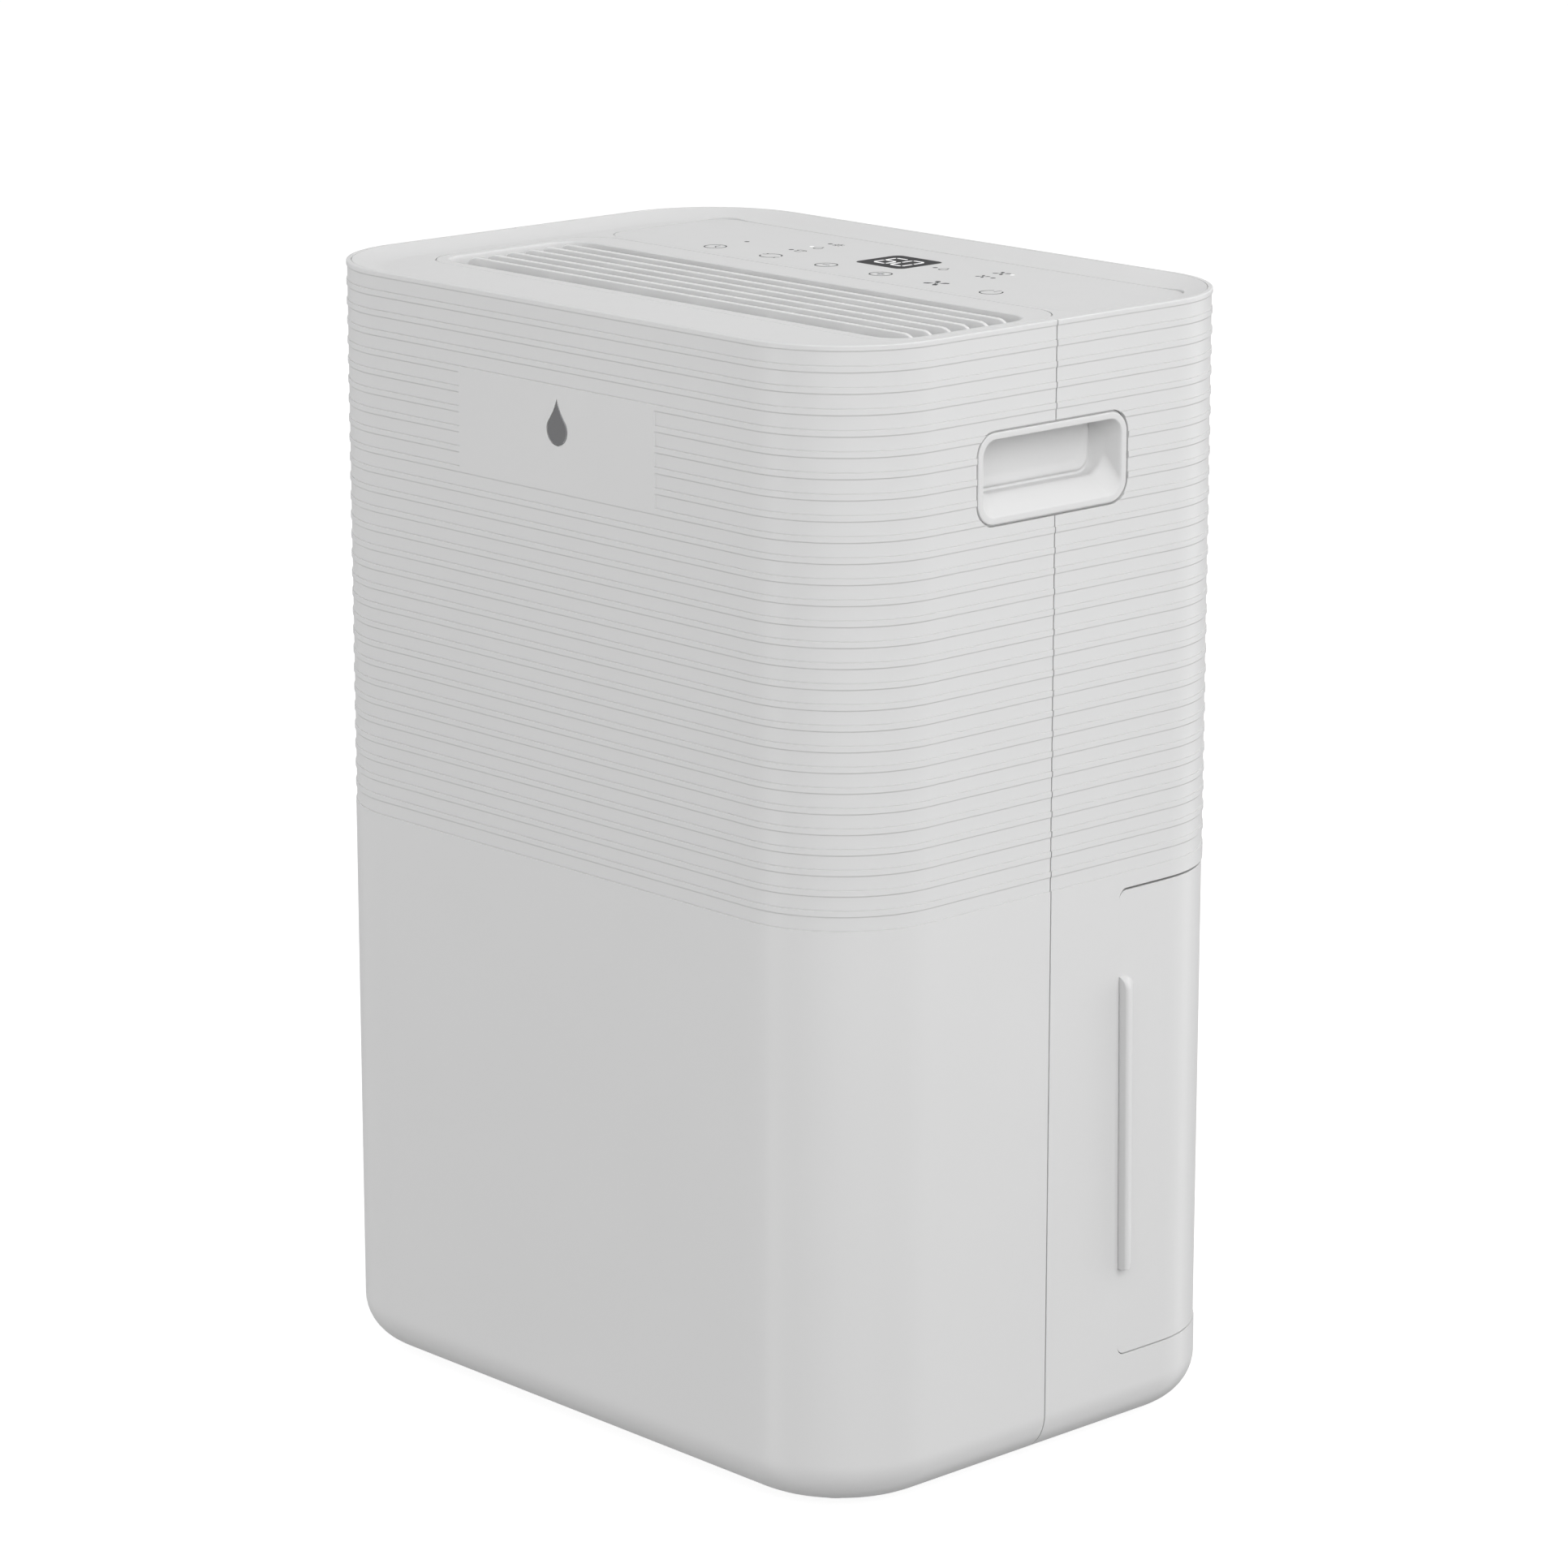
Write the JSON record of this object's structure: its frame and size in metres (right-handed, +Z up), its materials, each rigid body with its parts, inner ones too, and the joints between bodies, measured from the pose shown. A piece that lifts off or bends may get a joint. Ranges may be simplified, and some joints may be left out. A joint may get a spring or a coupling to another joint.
{
  "type": "dehumidifier",
  "caption": "Upright rounded-box household dehumidifier with a top air outlet and touch panel, finger pockets in both sides and a pull-out rear water tank.",
  "frame": {"origin": "on the floor, under the centre of the object's outer box", "axes": "+Z up, the longest side; the front faces -Y and the tank pulls out along +Y, the shortest side; +X is the right-hand side seen from the front"},
  "size_m": [0.3564, 0.252, 0.502],
  "materials": {
    "white_plastic": "satin moulded white",
    "grey_plastic": "satin grey",
    "black_plastic": "matte black",
    "clear_plastic": "clear smoke-blue",
    "display_glass": "dark gloss window",
    "chrome": "bright plated",
    "black_rubber": "matte",
    "grey_rubber": "matte light grey",
    "black_paint": "semi-gloss black",
    "copper": null,
    "aluminium_fins": "mill finish",
    "zinc_steel": "zinc plated",
    "circuit_board": "green solder mask",
    "filter_cloth": "fine dark mesh",
    "foam": "closed-cell foam"
  },
  "bodies": {
    "housing": {"front_cover": "white_plastic", "rear_cover": "white_plastic", "top_deck": "white_plastic", "outlet_grille": "white_plastic", "control_panel": "white_plastic", "handle_pocket_left": "white_plastic", "handle_pocket_right": "white_plastic", "tank_bay": "white_plastic", "drip_tray": "white_plastic", "base_pan": "grey_plastic", "fan_scroll": "grey_plastic", "scroll_cover": "grey_plastic", "outlet_duct": "grey_plastic", "electronics_box": "grey_plastic", "drain_port": "grey_plastic", "display_window": "display_glass", "front_badge": "chrome", "foot_front_left": "grey_rubber", "foot_front_right": "grey_rubber", "foot_rear_left": "grey_rubber", "foot_rear_right": "grey_rubber", "cord_gland": "black_rubber", "compressor_grommet_1": "black_rubber", "compressor_grommet_2": "black_rubber", "compressor_grommet_3": "black_rubber", "compressor": "black_paint", "accumulator": "black_paint", "tank_switch": "black_plastic", "discharge_pipe": "copper", "suction_pipe": "copper", "compressor_inlet_pipe": "copper", "liquid_pipe": "copper", "capillary_pipe": "copper", "filter_drier": "copper", "evaporator_coil": "aluminium_fins", "condenser_coil": "aluminium_fins", "run_capacitor": "aluminium_fins", "fan_motor": "zinc_steel", "cover_screw_1": "zinc_steel", "cover_screw_2": "zinc_steel", "cover_screw_3": "zinc_steel", "cover_screw_4": "zinc_steel", "control_board": "circuit_board", "main_board": "circuit_board", "humidity_sensor": "circuit_board"},
    "fan": {"fan_wheel": "black_plastic", "motor_shaft": "zinc_steel", "wheel_nut": "zinc_steel"},
    "filter": {"filter_frame": "white_plastic", "filter_mesh": "filter_cloth"},
    "tank": {"tank": "clear_plastic", "tank_panel": "white_plastic", "tank_lid": "white_plastic"},
    "tank_handle": {"tank_handle": "grey_plastic"},
    "float": {"float": "foam"},
    "drain_plug": {"drain_plug": "black_rubber"}
  },
  "joints": [
    {"name": "tank_slide", "type": "slide", "parent": "housing", "child": "tank", "axis": [0, 1, 0], "range_m": [0, 0.13]},
    {"name": "tank_handle_hinge", "type": "hinge", "parent": "tank", "child": "tank_handle", "pos_m": [0, 0.082, 0.2056], "axis": [-1, 0, 0], "range_deg": [0, 90]},
    {"name": "float_hinge", "type": "hinge", "parent": "tank", "child": "float", "pos_m": [-0.115, 0.062, 0.19], "axis": [1, 0, 0], "range_deg": [0, 12]},
    {"name": "filter_slide", "type": "slide", "parent": "housing", "child": "filter", "axis": [0, 1, 0], "range_m": [0, 0.06]},
    {"name": "fan_spin", "type": "hinge", "parent": "housing", "child": "fan", "pos_m": [0, -0.018, 0.352], "axis": [0, 1, 0], "continuous": true},
    {"name": "drain_plug_slide", "type": "slide", "parent": "housing", "child": "drain_plug", "axis": [0, 1, 0], "range_m": [0, 0.02]}
  ]
}
